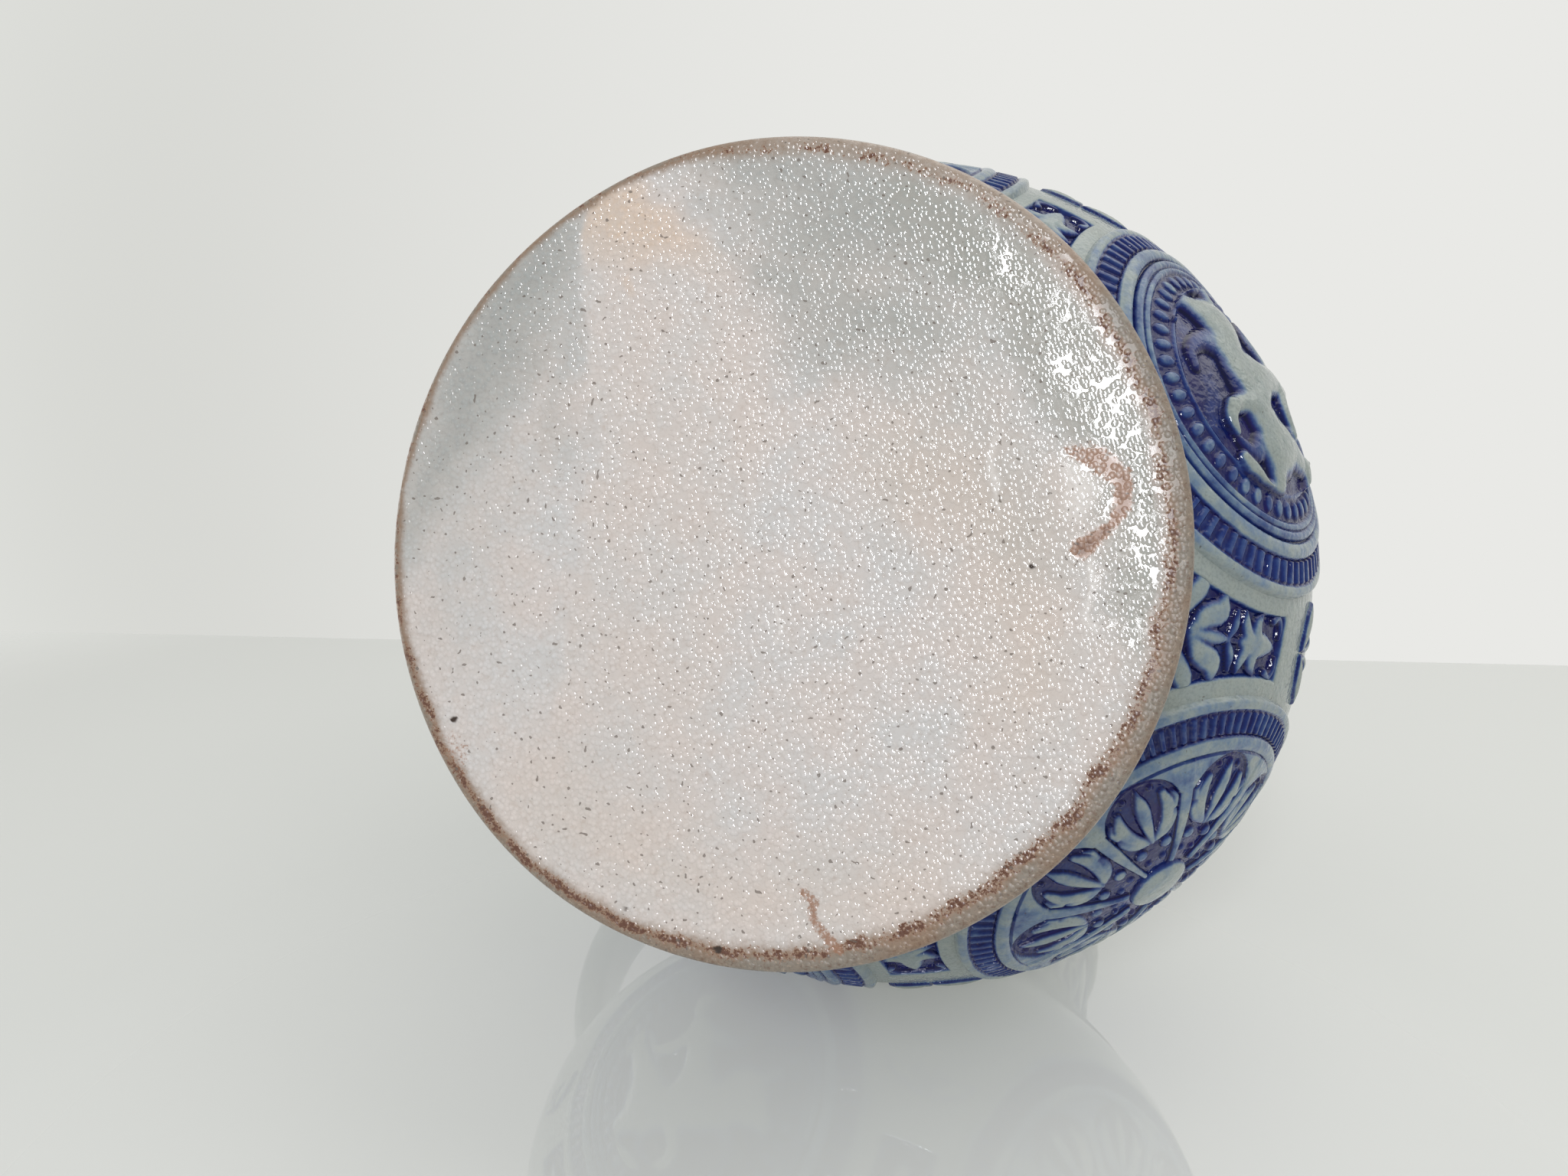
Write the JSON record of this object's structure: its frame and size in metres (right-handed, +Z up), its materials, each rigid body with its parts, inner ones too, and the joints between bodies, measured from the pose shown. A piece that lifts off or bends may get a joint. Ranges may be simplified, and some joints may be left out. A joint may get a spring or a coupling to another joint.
{
  "type": "jug",
  "caption": "Round-bellied stoneware relief jug with a waisted foot, wide neck, pouring lip, strap handle and round medallions.",
  "frame": {"origin": "centre of the flat underside", "axes": "+Z up the jug's axis, +X towards the pouring lip, handle on the -X side"},
  "size_m": [0.2074, 0.1842, 0.2519],
  "materials": {
    "grey_salt_glaze": "salt-glazed grey stoneware, glossy, with an orange-peel surface",
    "cobalt_salt_glaze": "salt-glazed stoneware with cobalt blue grounds and light grey relief, glossy",
    "base_clay": "bare warm grey stoneware with thin patches of salt glaze"
  },
  "bodies": {
    "root": {"base_slab": "base_clay", "belly_upper": "grey_salt_glaze", "belly_lower": "grey_salt_glaze", "foot": "grey_salt_glaze", "neck_collar": "grey_salt_glaze", "pouring_rim": "grey_salt_glaze", "handle": "grey_salt_glaze", "neck_ring_lower": "grey_salt_glaze", "neck_ring_upper": "grey_salt_glaze", "medallion_frame_back_right": "grey_salt_glaze", "medallion_frame_front_right": "grey_salt_glaze", "medallion_frame_front_left": "grey_salt_glaze", "medallion_frame_back_left": "grey_salt_glaze", "scroll_leaves_far_right": "grey_salt_glaze", "scroll_leaves_right": "grey_salt_glaze", "scroll_leaves_front": "grey_salt_glaze", "scroll_leaves_left": "grey_salt_glaze", "scroll_leaves_far_left": "grey_salt_glaze", "neck_frieze": "cobalt_salt_glaze", "shoulder_band": "cobalt_salt_glaze", "rosette_medallion_back_right": "cobalt_salt_glaze", "rider_medallion_front_right": "cobalt_salt_glaze", "rosette_medallion_front_left": "cobalt_salt_glaze", "rider_medallion_back_left": "cobalt_salt_glaze", "palmette_panel_far_right": "cobalt_salt_glaze", "palmette_panel_right": "cobalt_salt_glaze", "palmette_panel_front": "cobalt_salt_glaze", "palmette_panel_left": "cobalt_salt_glaze", "palmette_panel_far_left": "cobalt_salt_glaze"}
  },
  "joints": []
}
